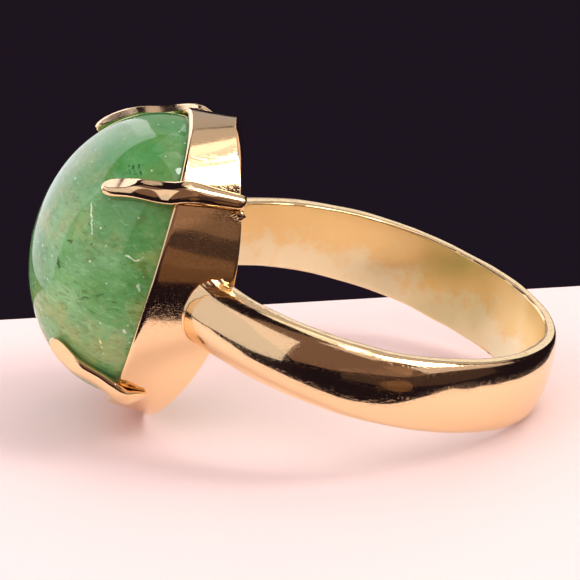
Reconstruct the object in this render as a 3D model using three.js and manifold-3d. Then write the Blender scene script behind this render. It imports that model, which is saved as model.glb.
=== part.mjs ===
// A cocktail ring: an oval high-domed cabochon in a deep collet with four claws, on a domed band.
// Millimetres, +Z up. The ring lies on its side, on the collet's lower end and the back of the
// band, with the stone facing -X. Inside the turned group the finger axis is Z and the finger
// hole is centred on the origin.
import * as THREE from 'three';
import { mergeVertices } from 'three/addons/utils/BufferGeometryUtils.js';
import Module from 'manifold-3d';

const wasm = await Module();
wasm.setup();

// Finger hole.
const BORE = 17.0;            // diameter
const BORE_OVAL = 0.17;       // longer towards the stone than across
const BORE_FLATS = 0.12;      // slightly square, as a hammered band is
// Band: the crown values are those under the stone, the back values opposite it.
const BAND_WIDTH_CROWN = 3.15;
const BAND_WIDTH_BACK = 3.9;
const BAND_THICK_CROWN = 1.85;
const BAND_THICK_BACK = 0.85;
const BAND_LAND = 0.45;       // flat side of the band, below the dome
// Collet: half-lengths along the finger axis and half-widths across it.
const RIM_HEIGHT = 10.27;     // rim plane above the finger axis
const RIM_HALF_LENGTH = 7.07;
const RIM_HALF_WIDTH = 6.42;
const RIM_ROUNDNESS = 2.45;   // 2 is an ellipse, more is squarer
const BASE_HALF_LENGTH = 7.6;
const BASE_HALF_WIDTH = 5.24;
const BASE_ROUNDNESS_UPPER = 2.18;
const BASE_ROUNDNESS_LOWER = 1.95;
const BASE_DROP = 0.35;       // how far the saddle stands into the finger hole
const WALL = 0.55;            // collet wall at the base
const LIP = 0.4;              // collet wall round the stone
const STONE_RECESS = 0.8;     // depth of the stone's back below the rim
const DOME_HEIGHT = 5.5;      // stone above the rim
const SEAT_HEIGHT = 0.5;
const SEAT_WIDTH = 0.6;
// Claws: half-round wire up the collet's wall and over the stone.
const CLAW_WIDTH = 0.92;
const CLAW_DEPTH = 0.7;
const CLAW_SPLAY = 6;         // degrees that a foot sits nearer the finger axis than its tip
// Each claw, set by hand: degrees from the finger axis at the rim, height above the rim, and
// how far up the wall it starts, from 0 at the base to 1 at the rim.
const CLAWS = [
  { name: 'claw_upper_near', along: 1, across: -1, angle: 44.5, reach: 3.2, foot: 0 },
  { name: 'claw_upper_far', along: 1, across: 1, angle: 39, reach: 3.6, foot: 0.3 },
  { name: 'claw_lower_near', along: -1, across: -1, angle: 46.5, reach: 3.3, foot: 0.5 },
  { name: 'claw_lower_far', along: -1, across: 1, angle: 42, reach: 3.4, foot: 0.5 },
];
const SEAM = 0.09;            // thickness of the solder round a shoulder
const SEAM_REACH = 0.3;       // how far that solder runs out from the collet
const GAP = 0.04;             // clearance between pieces

const HUB = 20;               // construction radius of a profile before it is shaped
const GOLD = { color: 0xd9a760, roughness: 0.16, metalness: 1.0 };
const STONE = { color: 0x5a9a62, roughness: 0.08, metalness: 0.0 };

const mix = THREE.MathUtils.lerp;
const clamp = THREE.MathUtils.clamp;

// Radius of an oval outline at an angle from the finger axis.
function ovalRadius(angle, halfLength, halfWidth, roundness) {
  const along = Math.abs(Math.cos(angle) / halfLength) ** roundness;
  const across = Math.abs(Math.sin(angle) / halfWidth) ** roundness;
  return (along + across) ** (-1 / roundness);
}

// Power of the base outline: fuller on the upper side than on the lower one.
function baseRoundness(angle) {
  return Math.cos(angle) > 0 ? BASE_ROUNDNESS_UPPER : BASE_ROUNDNESS_LOWER;
}

// Height of the collet's saddle-shaped base edge: it follows the finger hole.
function baseHeight(angle) {
  const r = BORE / 2;
  const across = ovalRadius(angle, BASE_HALF_LENGTH, BASE_HALF_WIDTH, baseRoundness(angle)) * Math.sin(angle);
  return Math.sqrt(r * r - across * across) - BASE_DROP;
}

// Outer radius of the collet's wall at an angle and a height above the finger axis.
function wallRadius(angle, height) {
  const base = baseHeight(angle);
  const s = clamp((height - base) / (RIM_HEIGHT - base), 0, 1);
  return ovalRadius(angle, mix(BASE_HALF_LENGTH, RIM_HALF_LENGTH, s),
    mix(BASE_HALF_WIDTH, RIM_HALF_WIDTH, s), mix(baseRoundness(angle), RIM_ROUNDNESS, s));
}

// Radius of the stone's dome at an angle and a height above the finger axis.
function domeRadius(angle, height) {
  const rise = clamp((height - RIM_HEIGHT) / DOME_HEIGHT, 0, 1);
  return (wallRadius(angle, RIM_HEIGHT) - LIP - GAP) * Math.sqrt(1 - rise * rise);
}

// Moves every vertex of a geometry through a function.
function deform(geometry, move) {
  const position = geometry.attributes.position;
  const v = new THREE.Vector3();
  for (let i = 0; i < position.count; i++) {
    v.fromBufferAttribute(position, i);
    move(v);
    position.setXYZ(i, v.x, v.y, v.z);
  }
  return geometry;
}

// A closed geometry as a solid: shared vertices merged, slivers dropped, faces outward.
function toSolid(geometry) {
  geometry.deleteAttribute('normal');
  geometry.deleteAttribute('uv');
  const merged = mergeVertices(geometry, 1e-4);
  const p = merged.attributes.position.array;
  const tris = [];
  for (let i = 0; i < merged.index.count; i += 3) {
    const [a, b, c] = [0, 1, 2].map((k) => merged.index.getX(i + k));
    if (a !== b && b !== c && c !== a) tris.push([a, b, c]);
  }
  const at = (i) => new THREE.Vector3().fromArray(p, 3 * i);
  const volume = tris.reduce((sum, [a, b, c]) => sum + at(a).dot(at(b).cross(at(c))), 0);
  const wound = volume < 0 ? tris.map(([a, b, c]) => [a, c, b]) : tris;
  return new wasm.Manifold(new wasm.Mesh({
    numProp: 3, vertProperties: new Float32Array(p), triVerts: new Uint32Array(wound.flat()),
  }));
}

// A named mesh from a solid, with its own material.
function toMesh(name, solid, finish) {
  const { vertProperties, triVerts } = solid.getMesh();
  const geometry = new THREE.BufferGeometry();
  geometry.setAttribute('position', new THREE.BufferAttribute(vertProperties, 3));
  geometry.setIndex(new THREE.BufferAttribute(triVerts, 1));
  geometry.computeVertexNormals();
  const mesh = new THREE.Mesh(geometry, new THREE.MeshStandardMaterial(finish));
  mesh.name = name;
  return mesh;
}

// A profile turned about the stone's axis, which points along -X, then shaped by
// shape(angle, radius, height) -> [radius, height].
function headTurning(points, segments, shape) {
  const profile = points.map(([r, h]) => new THREE.Vector2(r, h));
  const geometry = new THREE.LatheGeometry(profile, segments).rotateZ(Math.PI / 2);
  return deform(geometry, (v) => {
    const angle = Math.atan2(v.y, v.z);
    const [radius, height] = shape(angle, Math.hypot(v.y, v.z), -v.x);
    v.set(-height, radius * Math.sin(angle), radius * Math.cos(angle));
  });
}

// The whole column inside the collet's outer wall, grown outwards, used only to cut.
function columnSolid(grow) {
  const steps = [0, 0.5, 0.62, 0.74, 0.86, 1.0];
  const points = [[0, 0], ...steps.map((s) => [HUB, s]), [HUB, 1.2], [0, 1.2]];
  return toSolid(headTurning(points, 64, (angle, radius, s) => {
    const base = baseHeight(angle) - GAP;
    const height = s <= 0.5 ? mix(base - 2.5, base, s / 0.5)
      : s <= 1 ? mix(base, RIM_HEIGHT, (s - 0.5) / 0.5) : RIM_HEIGHT + 3;
    return [radius / HUB * (wallRadius(angle, height) + grow), height];
  }));
}

// Collet: a deep oval wall, saddle-cut at the base, with a rounded lip at the rim.
function colletSolid(grow = 0) {
  const profile = [[0, 0], [0, 0.3], [0, 0.6], [0, 0.8], [0, 0.93], [0.05, 0.98], [0.15, 1.0],
    [LIP - 0.06, 1.0], [LIP, 0.97], [LIP, 0.6], [WALL, 0.52], [WALL, 0]];
  const points = [...profile, profile[0]].map(([inset, s]) => [HUB - inset, s]);
  return toSolid(headTurning(points, 64, (angle, radius, s) => {
    const height = mix(baseHeight(angle) - grow, RIM_HEIGHT + grow, s);
    const inset = HUB - radius;
    const side = inset > 0.3 ? grow : -grow;
    return [wallRadius(angle, height) - inset - side, height];
  }));
}

// Seat: the inner ledge that the stone's back rests on.
function seatSolid() {
  const top = RIM_HEIGHT - STONE_RECESS - GAP;
  const inner = WALL + GAP + SEAT_WIDTH;
  const outer = WALL + GAP;
  const points = [[outer, top - SEAT_HEIGHT], [outer, top], [inner - 0.12, top],
    [inner, top - 0.12], [inner, top - SEAT_HEIGHT], [outer, top - SEAT_HEIGHT]];
  return toSolid(headTurning(points.map(([inset, h]) => [HUB - inset, h]), 64,
    (angle, radius, height) => [wallRadius(angle, height) - (HUB - radius), height]));
}

// Cabochon: flat back, steep girdle inside the lip, and a half-ellipse dome.
function stoneSolid(grow = 0) {
  const back = RIM_HEIGHT - STONE_RECESS;
  const girdle = [[0, back], [0.93, back], [1, back + 0.12], [1, RIM_HEIGHT - 0.25], [1, RIM_HEIGHT]];
  const dome = [];
  for (let i = 1; i <= 12; i++) {
    const a = i / 12 * Math.PI / 2;
    dome.push([Math.cos(a), RIM_HEIGHT + Math.sin(a) * DOME_HEIGHT]);
  }
  dome[dome.length - 1][0] = 0;
  return toSolid(headTurning([...girdle, ...dome], 56, (angle, share, height) => {
    const edge = wallRadius(angle, Math.min(height, RIM_HEIGHT)) - LIP - GAP;
    const lift = height > RIM_HEIGHT ? grow * (height - RIM_HEIGHT) / DOME_HEIGHT : 0;
    return [share * (edge + grow), height + lift];
  }));
}

// Width of the band at a distance from the finger axis towards the stone. It changes evenly, so
// that each side of the band is one flat plane.
function bandWidth(towardStone) {
  const reach = BORE / 2 + BAND_THICK_CROWN;
  return mix(BAND_WIDTH_BACK, BAND_WIDTH_CROWN, (towardStone + reach) / (2 * reach));
}

// Band: a domed section with flat sides, turned round the finger and shaped by angle.
function bandSolid(grow = 0) {
  const points = [[HUB, -0.96], [HUB, 0.96], [HUB + 0.2, 1], [HUB + 1, 1]];
  for (let i = 1; i < 12; i++) {
    const a = i / 12 * Math.PI;
    points.push([HUB + 1 + Math.sin(a), Math.cos(a)]);
  }
  points.push([HUB + 1, -1], [HUB + 0.2, -1], [HUB, -0.96]);
  const profile = points.map(([r, h]) => new THREE.Vector2(r, h));
  const geometry = new THREE.LatheGeometry(profile, 84).rotateX(Math.PI / 2);
  return toSolid(deform(geometry, (v) => {
    const angle = Math.atan2(v.y, -v.x);
    const crown = ((1 + Math.cos(angle)) / 2) ** 0.8;
    const thick = mix(BAND_THICK_BACK, BAND_THICK_CROWN, crown) + grow;
    const bore = BORE / 2 + BORE_OVAL * Math.cos(2 * angle) + BORE_FLATS * Math.cos(4 * angle);
    const level = Math.hypot(v.x, v.y) - HUB;
    const land = BAND_LAND * clamp(level, 0, 1);
    const dome = (thick - BAND_LAND) * clamp(level - 1, 0, 1);
    const radius = bore + land + dome - (level < 0.1 ? grow : 0);
    const towardStone = radius * Math.cos(angle);
    v.set(-towardStone, radius * Math.sin(angle), v.z * (bandWidth(towardStone) / 2 + grow));
  }));
}

// Angle round the stone's axis of a claw at a share of its length, from foot to tip.
function clawAngle({ along, across, angle }, share) {
  const splay = CLAW_SPLAY * clamp(1 - share / 0.5, 0, 1);
  const turn = THREE.MathUtils.degToRad(angle - splay);
  return Math.atan2(across * Math.sin(turn), along * Math.cos(turn));
}

// Centre line of a claw: [distance from the stone's axis, height] up the wall and over the dome.
function clawLine(claw) {
  const off = CLAW_DEPTH * 0.42;
  const foot = mix(baseHeight(clawAngle(claw, 0)) - 0.12, RIM_HEIGHT, claw.foot);
  const line = [];
  for (let i = 0; i <= 2; i++) {
    const height = mix(foot, RIM_HEIGHT - 0.4, i / 2);
    line.push([wallRadius(clawAngle(claw, i / 5), height) + off, height]);
  }
  const angle = clawAngle(claw, 1);
  for (const share of [0.22, 0.6, 1]) {
    const height = RIM_HEIGHT + claw.reach * share;
    const radius = domeRadius(angle, height);
    const slope = Math.atan2(radius / domeRadius(angle, RIM_HEIGHT) ** 2, (height - RIM_HEIGHT)
      / DOME_HEIGHT ** 2);
    line.push([radius + off * Math.sin(slope), height + off * Math.cos(slope)]);
  }
  return line;
}

// Claw: a capsule with a flattened inner side, bent along the wall and over the dome.
function clawSolid(claw, cutters) {
  const line = clawLine(claw).map(([r, h]) => new THREE.Vector3(r, h, 0));
  const curve = new THREE.CatmullRomCurve3(line, false, 'centripetal');
  const outline = [[0, 0], [0.5, 0], [0.74, 0.012], [0.82, 0.04], [0.92, 0.2], [1, 0.36], [1, 0.5],
    [1, 0.62], [1, 0.74], [0.96, 0.84], [0.86, 0.92], [0.66, 0.965], [0.36, 0.99], [0, 1]];
  const profile = outline.map(([r, h]) => new THREE.Vector2(r, h));
  const geometry = deform(new THREE.LatheGeometry(profile, 14), (v) => {
    const centre = curve.getPoint(clamp(v.y, 0, 1));
    const tangent = curve.getTangent(clamp(v.y, 0, 1));
    const out = v.x * CLAW_DEPTH / 2;
    const side = v.z * CLAW_WIDTH / 2;
    const radius = centre.x + tangent.y * out;
    const height = centre.y - tangent.x * out;
    const angle = clawAngle(claw, clamp(v.y, 0, 1));
    v.set(-height, radius * Math.sin(angle) + side * Math.cos(angle),
      radius * Math.cos(angle) - side * Math.sin(angle));
  });
  return cutters.reduce((solid, cutter) => solid.subtract(cutter), toSolid(geometry));
}

// Solder bead: a small oval drop on the wall beside a claw's foot, on the side of the band.
function beadSolid({ along, across, angle }, cutters) {
  const turn = THREE.MathUtils.degToRad(angle - CLAW_SPLAY + 4.6);
  const at = Math.atan2(across * Math.sin(turn), along * Math.cos(turn));
  const height = baseHeight(at) + 0.22;
  const radius = wallRadius(at, height) + 0.05;
  const bead = new THREE.SphereGeometry(0.27, 14, 10).scale(1.15, 0.85, 0.85)
    .translate(-height, radius * Math.sin(at), radius * Math.cos(at));
  return cutters.reduce((solid, cutter) => solid.subtract(cutter), toSolid(bead));
}

// Shoulder seam: a thin collar of solder round the band where it meets the collet.
function seamSolid(side, column) {
  const half = new THREE.BoxGeometry(12, 12, 12).translate(-8, side * 6.5, 0);
  return bandSolid(SEAM).intersect(columnSolid(GAP + SEAM_REACH)).subtract(column)
    .subtract(bandSolid(GAP)).intersect(toSolid(half));
}

// The lowest vertex of some meshes when the ring leans by an angle.
function lowest(meshes, lean) {
  let best = null;
  const v = new THREE.Vector3();
  for (const mesh of meshes) {
    const position = mesh.geometry.attributes.position;
    for (let i = 0; i < position.count; i++) {
      v.fromBufferAttribute(position, i);
      const level = v.z * Math.cos(lean) - v.x * Math.sin(lean);
      if (!best || level < best.level) best = { level, x: v.x, z: v.z };
    }
  }
  return best;
}

// The lean at which the head and the back of the band touch the ground together.
function restingLean(head, band) {
  let lean = 0;
  for (let i = 0; i < 6; i++) {
    const a = lowest(head, lean);
    const b = lowest([band], lean);
    lean = Math.atan2(b.z - a.z, b.x - a.x);
  }
  return lean;
}

const column = columnSolid(GAP);
const collet = colletSolid();
const band = bandSolid().subtract(column);
const aroundHead = [colletSolid(GAP), stoneSolid(GAP)];

const head = [
  toMesh('collet', collet, GOLD),
  toMesh('stone_seat', seatSolid(), GOLD),
  toMesh('cabochon', stoneSolid(), STONE),
];
const [soldered] = CLAWS;
const clawSolids = CLAWS.map((claw) => clawSolid(claw, aroundHead));
CLAWS.forEach((claw, i) => head.push(toMesh(claw.name, clawSolids[i], GOLD)));
head.push(toMesh('claw_solder', beadSolid(soldered, [aroundHead[0], clawSolids[0]]), GOLD));
const shank = toMesh('shank', band, GOLD);
const seams = [toMesh('shoulder_seam_near', seamSolid(-1, column), GOLD),
  toMesh('shoulder_seam_far', seamSolid(1, column), GOLD)];

const ring = new THREE.Group();
ring.add(...head, shank, ...seams);
ring.rotation.y = restingLean(head, shank);
ring.updateMatrixWorld(true);

// The origin is the middle of the ring's bounding box, on the ground.
const bounds = new THREE.Box3().setFromObject(ring, true);
const centre = bounds.getCenter(new THREE.Vector3());
ring.position.set(-centre.x, -centre.y, -bounds.min.z);

const group = new THREE.Group();
group.name = 'cocktail_ring';
group.add(ring);

export default group;
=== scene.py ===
"""Cocktail ring: a domed gold band, a deep oval collet, four wire claws and a green cabochon.

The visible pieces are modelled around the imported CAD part, in its own frame, in metres.
Each sub-assembly is a class that holds its sizes in millimetres. A piece starts as plain
stock, turned with the modelling operators, and is then pressed to shape by a law that
gives each of its corners a place on the ring.
"""

import logging
import math
from dataclasses import dataclass
from enum import Enum
from typing import Callable, Sequence

import bpy
import numpy as np
from mathutils import Matrix, Vector

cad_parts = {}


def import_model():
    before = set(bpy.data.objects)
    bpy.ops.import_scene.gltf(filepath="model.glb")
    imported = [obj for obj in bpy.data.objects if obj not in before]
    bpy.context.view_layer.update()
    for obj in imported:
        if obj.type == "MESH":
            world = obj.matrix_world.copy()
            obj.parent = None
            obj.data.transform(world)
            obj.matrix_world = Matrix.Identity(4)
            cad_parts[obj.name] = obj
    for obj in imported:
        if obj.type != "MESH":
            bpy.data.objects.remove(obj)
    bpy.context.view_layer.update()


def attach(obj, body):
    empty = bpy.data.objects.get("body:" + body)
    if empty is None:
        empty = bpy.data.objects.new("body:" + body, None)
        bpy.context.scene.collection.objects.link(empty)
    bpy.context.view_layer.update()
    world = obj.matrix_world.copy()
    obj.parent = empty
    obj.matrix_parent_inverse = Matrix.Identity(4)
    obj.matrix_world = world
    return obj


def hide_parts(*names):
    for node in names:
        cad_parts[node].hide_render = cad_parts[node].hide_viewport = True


LOG = logging.getLogger("ring")
BODY = "root"
MM = 0.001
QUARTER = math.pi / 2.0
HUB = 20.0  # radius at which a section is turned, before it is pressed to shape
WELD = 1e-4  # distance under which two corners of a blank are one
TINY = 1e-9  # least size of a divisor, for corners on a wire's own axis

Value = float | np.ndarray
Law = Callable[[np.ndarray], np.ndarray]
Colour = tuple[float, float, float]
Corner = tuple[float, float]
Place = tuple[float, float, float]
Socket = bpy.types.NodeSocket
Sockets = tuple[tuple[str, str], ...]


class Slot(Enum):
    """Material slots of the record."""

    BAND = "gold_band"
    COLLET = "gold_collet"
    WIRE = "gold_wire"
    SOLDER = "gold_solder"
    STONE = "green_stone"


class End(Enum):
    """Ends of the stone, by the sign of the finger axis."""

    UPPER = 1
    LOWER = -1


class Side(Enum):
    """Sides of the ring, by the sign of the axis across the stone."""

    NEAR = -1
    FAR = 1


def mix(low: Value, high: Value, share: Value) -> Value:
    """Value at a share of the way from low to high."""
    return low + (high - low) * share


def ease(low: float, high: float, value: np.ndarray) -> np.ndarray:
    """Smooth step from 0 at low to 1 at high."""
    share = np.clip((value - low) / (high - low), 0.0, 1.0)
    return share * share * (3.0 - 2.0 * share)


@dataclass(frozen=True)
class Swell:
    """Soft unevenness of a hand-worked surface, in millimetres."""

    pitch: float  # typical distance between swells
    height: float  # typical height of a swell
    seed: int  # start of the random directions
    waves: int = 9

    def at(self, points: np.ndarray) -> np.ndarray:
        """Height of the swells.

        Args:
            points: places in millimetres, one row each.

        Returns:
            A height for each point.
        """
        rng = np.random.default_rng(self.seed)
        total = np.zeros(len(points))
        for _ in range(self.waves):
            direction = rng.normal(size=3)
            direction /= np.linalg.norm(direction)
            turn = math.tau / (self.pitch * rng.uniform(0.6, 1.6))
            total += np.sin(points @ direction * turn + rng.uniform(0.0, math.tau))
        return total * self.height / math.sqrt(self.waves / 2.0)


@dataclass(frozen=True)
class RingForm:
    """Sizes that the pieces share, and the ring's own axes.

    The ring's own frame has the finger axis along Z, the stone towards -X and the finger
    hole on the origin. Heights are measured from the finger axis towards the stone.
    An oval is given by its half length, its half width and the power of its outline.
    """

    lean: float = 18.05885357504569
    shift_x: float = 2.943787188645185
    shift_z: float = 4.699164329090278
    bore: float = 17.0
    rim_height: float = 10.27
    rim: tuple[float, float, float] = (7.07, 6.42, 2.45)
    base: tuple[float, float] = (7.6, 5.24)
    base_power: tuple[float, float] = (2.18, 1.95)
    base_drop: float = 0.35
    wall: float = 0.55
    lip: float = 0.4
    gap: float = 0.04
    stone_recess: float = 0.8
    dome_height: float = 5.5

    def place(self, points: np.ndarray) -> np.ndarray:
        """Moves points from the ring's own frame to the row's.

        Args:
            points: places in the ring's own frame, in millimetres.

        Returns:
            The same places in the row's frame, in metres.
        """
        turn = math.radians(self.lean)
        x = points[:, 0] * math.cos(turn) + points[:, 2] * math.sin(turn) + self.shift_x
        z = points[:, 2] * math.cos(turn) - points[:, 0] * math.sin(turn) + self.shift_z
        return np.stack([x, points[:, 1], z], axis=1) * MM

    @staticmethod
    def oval(angle: np.ndarray, length: Value, width: Value, power: Value) -> np.ndarray:
        """Radius of an oval outline.

        Args:
            angle: angles from the finger axis.
            length: half length, along the finger axis.
            width: half width.
            power: 2 for an ellipse, more for a fuller outline.

        Returns:
            A radius for each angle.
        """
        along = np.abs(np.cos(angle) / length) ** power
        across = np.abs(np.sin(angle) / width) ** power
        return (along + across) ** (-1.0 / power)

    def base_roundness(self, angle: np.ndarray) -> np.ndarray:
        """Power of the foot's oval, fuller on the upper side than on the lower one."""
        return np.where(np.cos(angle) > 0.0, *self.base_power)

    def base_height(self, angle: np.ndarray) -> np.ndarray:
        """Height of the collet's saddle-shaped foot."""
        across = self.oval(angle, *self.base, self.base_roundness(angle)) * np.sin(angle)
        return np.sqrt((self.bore / 2.0) ** 2 - across**2) - self.base_drop

    def wall_radius(self, angle: np.ndarray, height: np.ndarray) -> np.ndarray:
        """Outer radius of the collet's wall.

        Args:
            angle: angles about the stone's axis.
            height: heights on the wall; past its ends, the end's radius holds.

        Returns:
            A radius for each angle and height.
        """
        foot = self.base_height(angle)
        share = np.clip((height - foot) / (self.rim_height - foot), 0.0, 1.0)
        foot_oval = (*self.base, self.base_roundness(angle))
        return self.oval(angle, *(mix(low, high, share) for low, high in zip(foot_oval, self.rim)))

    def dome_radius(self, angle: np.ndarray, height: np.ndarray) -> np.ndarray:
        """Radius of the stone's dome.

        Args:
            angle: angles about the stone's axis.
            height: heights on the dome.

        Returns:
            A radius for each angle and height.
        """
        rise = np.clip((height - self.rim_height) / self.dome_height, 0.0, 1.0)
        edge = self.wall_radius(angle, np.full_like(angle, self.rim_height))
        return (edge - self.lip - self.gap) * np.sqrt(1.0 - rise * rise)

    @staticmethod
    def around_stone(angle: np.ndarray, radius: np.ndarray, height: np.ndarray) -> np.ndarray:
        """Points about the stone's axis, in the ring's own frame."""
        return np.stack([-height, radius * np.sin(angle), radius * np.cos(angle)], axis=1)


FORM = RingForm()


class Blank:
    """Plain stock drawn and turned with the modelling operators, before it is pressed to shape."""

    @staticmethod
    def start(name: str, at: Corner) -> bpy.types.Object:
        """One corner on the XZ plane, in edit mode, ready to be drawn out.

        Args:
            name: name of the new piece.
            at: radius and level of the corner.

        Returns:
            The new object.
        """
        bpy.ops.object.select_all(action="DESELECT")
        bpy.ops.mesh.primitive_plane_add(size=1.0, location=(0.0, 0.0, 0.0))
        piece = bpy.context.object
        piece.name = name
        piece.data.name = name
        bpy.ops.object.mode_set(mode="EDIT")
        bpy.ops.mesh.select_all(action="SELECT")
        bpy.ops.mesh.merge(type="CENTER")
        bpy.ops.transform.translate(value=(at[0], 0.0, at[1]))
        return piece

    @staticmethod
    def turned(
        name: str, section: Sequence[Corner], steps: int, sweep: float = math.tau
    ) -> bpy.types.Object:
        """A section drawn beside the Z axis and spun about it.

        Args:
            name: name of the new piece.
            section: radius and level of each corner; a closed section repeats its first corner.
            steps: number of steps round the axis.
            sweep: angle of the turn.

        Returns:
            A closed blank, in object mode.
        """
        piece = Blank.start(name, section[0])
        for (r0, h0), (r1, h1) in zip(section, section[1:]):
            bpy.ops.mesh.extrude_region_move(TRANSFORM_OT_translate={"value": (r1 - r0, 0.0, h1 - h0)})
        bpy.ops.mesh.select_all(action="SELECT")
        bpy.ops.mesh.remove_doubles(threshold=WELD)
        bpy.ops.mesh.select_all(action="SELECT")
        bpy.ops.mesh.spin(steps=steps, angle=sweep, center=(0.0, 0.0, 0.0), axis=(0.0, 0.0, 1.0))
        bpy.ops.mesh.select_all(action="SELECT")
        bpy.ops.mesh.remove_doubles(threshold=WELD)
        if sweep < math.tau:
            bpy.ops.mesh.select_all(action="SELECT")
            bpy.ops.mesh.fill_holes(sides=0)
        bpy.ops.object.mode_set(mode="OBJECT")
        return piece

    @staticmethod
    def corners(piece: bpy.types.Object) -> np.ndarray:
        """Places of a blank's corners, one row each.

        Args:
            piece: the blank.

        Returns:
            One row for each corner.
        """
        stock = np.empty(len(piece.data.vertices) * 3)
        piece.data.vertices.foreach_get("co", stock)
        return stock.reshape(-1, 3)

    @staticmethod
    def press(piece: bpy.types.Object, law: Law) -> None:
        """Moves every corner of a blank to its place on the ring.

        Args:
            piece: the blank.
            law: gives the ring's own millimetres for the blank's corners.
        """
        made = FORM.place(law(Blank.corners(piece)))
        piece.data.vertices.foreach_set("co", made.ravel())
        piece.data.update()

    @staticmethod
    def close(piece: bpy.types.Object, crease: float) -> None:
        """Turns the faces outwards and shades them smooth.

        Args:
            piece: the pressed piece.
            crease: angle in degrees over which an edge is kept sharp.
        """
        bpy.ops.object.select_all(action="DESELECT")
        piece.select_set(True)
        bpy.context.view_layer.objects.active = piece
        bpy.ops.object.mode_set(mode="EDIT")
        bpy.ops.mesh.select_all(action="SELECT")
        bpy.ops.mesh.normals_make_consistent(inside=False)
        bpy.ops.object.mode_set(mode="OBJECT")
        bpy.ops.object.shade_smooth_by_angle(angle=math.radians(crease))
        piece.select_set(False)


def polar(stock: np.ndarray) -> tuple[np.ndarray, np.ndarray, np.ndarray]:
    """Angle, radius and level of the corners of a turned blank."""
    return np.arctan2(stock[:, 1], stock[:, 0]), np.hypot(stock[:, 0], stock[:, 1]), stock[:, 2]


def opaque(colour: Colour) -> tuple[float, float, float, float]:
    """A colour with full alpha, as shader sockets take it."""
    return (*colour, 1.0)


class Sheet:
    """Lays out shader nodes in one tree with little writing.

    An input is given as a value or as another node's socket.
    """

    def __init__(self, tree: bpy.types.NodeTree) -> None:
        """Starts on an empty tree."""
        self.tree = tree
        tree.nodes.clear()

    def feed(self, socket: Socket, value: object) -> None:
        """Links a socket to another one, or sets its own value."""
        if isinstance(value, bpy.types.NodeSocket):
            self.tree.links.new(value, socket)
        else:
            socket.default_value = value

    def add(self, kind: str, inputs: dict | None = None, **settings: object) -> bpy.types.Node:
        """A node with its settings and inputs.

        Args:
            kind: the node's type, without its ShaderNode prefix.
            inputs: values or sockets by input name or number.
            settings: the node's own properties.

        Returns:
            The new node.
        """
        prefix = "" if kind.startswith("NodeGroup") else "ShaderNode"
        node = self.tree.nodes.new(prefix + kind)
        for key, value in settings.items():
            setattr(node, key, value)
        for key, value in (inputs or {}).items():
            self.feed(node.inputs[key], value)
        return node

    def math(self, operation: str, *values: object, clamp: bool = False) -> Socket:
        """Result of a Math node."""
        return self.add("Math", dict(enumerate(values)), operation=operation, use_clamp=clamp).outputs[0]

    def vector(self, operation: str, first: object, second: object) -> Socket:
        """Result of a Vector Math node.

        Args:
            operation: the node's operation.
            first: a vector.
            second: a vector, or the factor of a scaling.

        Returns:
            The number of a dot product or distance, and otherwise the vector.
        """
        second_input = 3 if operation == "SCALE" else 1
        node = self.add("VectorMath", {0: first, second_input: second}, operation=operation)
        return node.outputs["Value" if operation in ("DOT_PRODUCT", "DISTANCE") else "Vector"]

    def noise(
        self, place: Socket, scale: float, detail: float, roughness: float = 0.5, distortion: float = 0.0
    ) -> bpy.types.Node:
        """A noise texture.

        Args:
            place: coordinates.
            scale: swells to the unit of the coordinates.
            detail: number of finer layers.
            roughness: strength of the finer layers.
            distortion: how far the pattern is pulled about.

        Returns:
            The texture's node.
        """
        inputs = {"Vector": place, "Scale": scale, "Detail": detail}
        inputs |= {"Roughness": roughness, "Distortion": distortion}
        return self.add("TexNoise", inputs)

    def mapped(self, place: Socket, scale: Place, turn: Place = (0.0, 0.0, 0.0)) -> Socket:
        """Coordinates stretched along their axes and turned."""
        return self.add("Mapping", {"Vector": place, "Rotation": turn, "Scale": scale}).outputs[0]

    def remap(self, value: object, low: float, high: float, to_low: float, to_high: float) -> Socket:
        """Value moved smoothly from one range to another and held at its ends."""
        made = {"Value": value, "From Min": low, "From Max": high, "To Min": to_low, "To Max": to_high}
        return self.add("MapRange", made, interpolation_type="SMOOTHSTEP").outputs["Result"]

    def blend(self, share: object, first: object, second: object) -> Socket:
        """Colour at a share of the way between two colours.

        Args:
            share: 0 for the first colour, 1 for the second.
            first: a colour.
            second: another colour.

        Returns:
            The blended colour.
        """
        node = self.add("Mix", data_type="RGBA")
        colours = (socket for socket in node.inputs if socket.type == "RGBA")
        for socket, value in zip((node.inputs["Factor"], *colours), (share, first, second)):
            self.feed(socket, value)
        return next(socket for socket in node.outputs if socket.type == "RGBA")

    def surface(self, inputs: dict) -> None:
        """A Principled surface, led to the material's output."""
        gloss = self.add("BsdfPrincipled", inputs)
        self.add("OutputMaterial", {"Surface": gloss.outputs[0]})


class Effect:
    """A shared effect, made as a shader node group that is built once."""

    NAME = "effect"
    INPUTS: Sockets = ()  # name and kind of each, such as ("Amount", "Float")
    OUTPUTS: Sockets = ()

    @classmethod
    def lay(cls, sheet: Sheet, given: bpy.types.NodeOutputs) -> dict[str, Socket]:
        """Lays out the effect's nodes.

        Args:
            sheet: where the nodes go.
            given: the group's inputs, by name.

        Returns:
            A socket for each of the group's outputs, by name.
        """
        raise NotImplementedError

    @classmethod
    def group(cls) -> bpy.types.NodeTree:
        """The effect's node group.

        Returns:
            The group's tree.
        """
        group = bpy.data.node_groups.get(cls.NAME)
        if group is None:
            group = bpy.data.node_groups.new(cls.NAME, "ShaderNodeTree")
            for side, sockets in (("INPUT", cls.INPUTS), ("OUTPUT", cls.OUTPUTS)):
                for label, kind in sockets:
                    group.interface.new_socket(label, in_out=side, socket_type=f"NodeSocket{kind}")
            sheet = Sheet(group)
            given = sheet.add("NodeGroupInput").outputs
            sheet.add("NodeGroupOutput", cls.lay(sheet, given))
        return group


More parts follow.
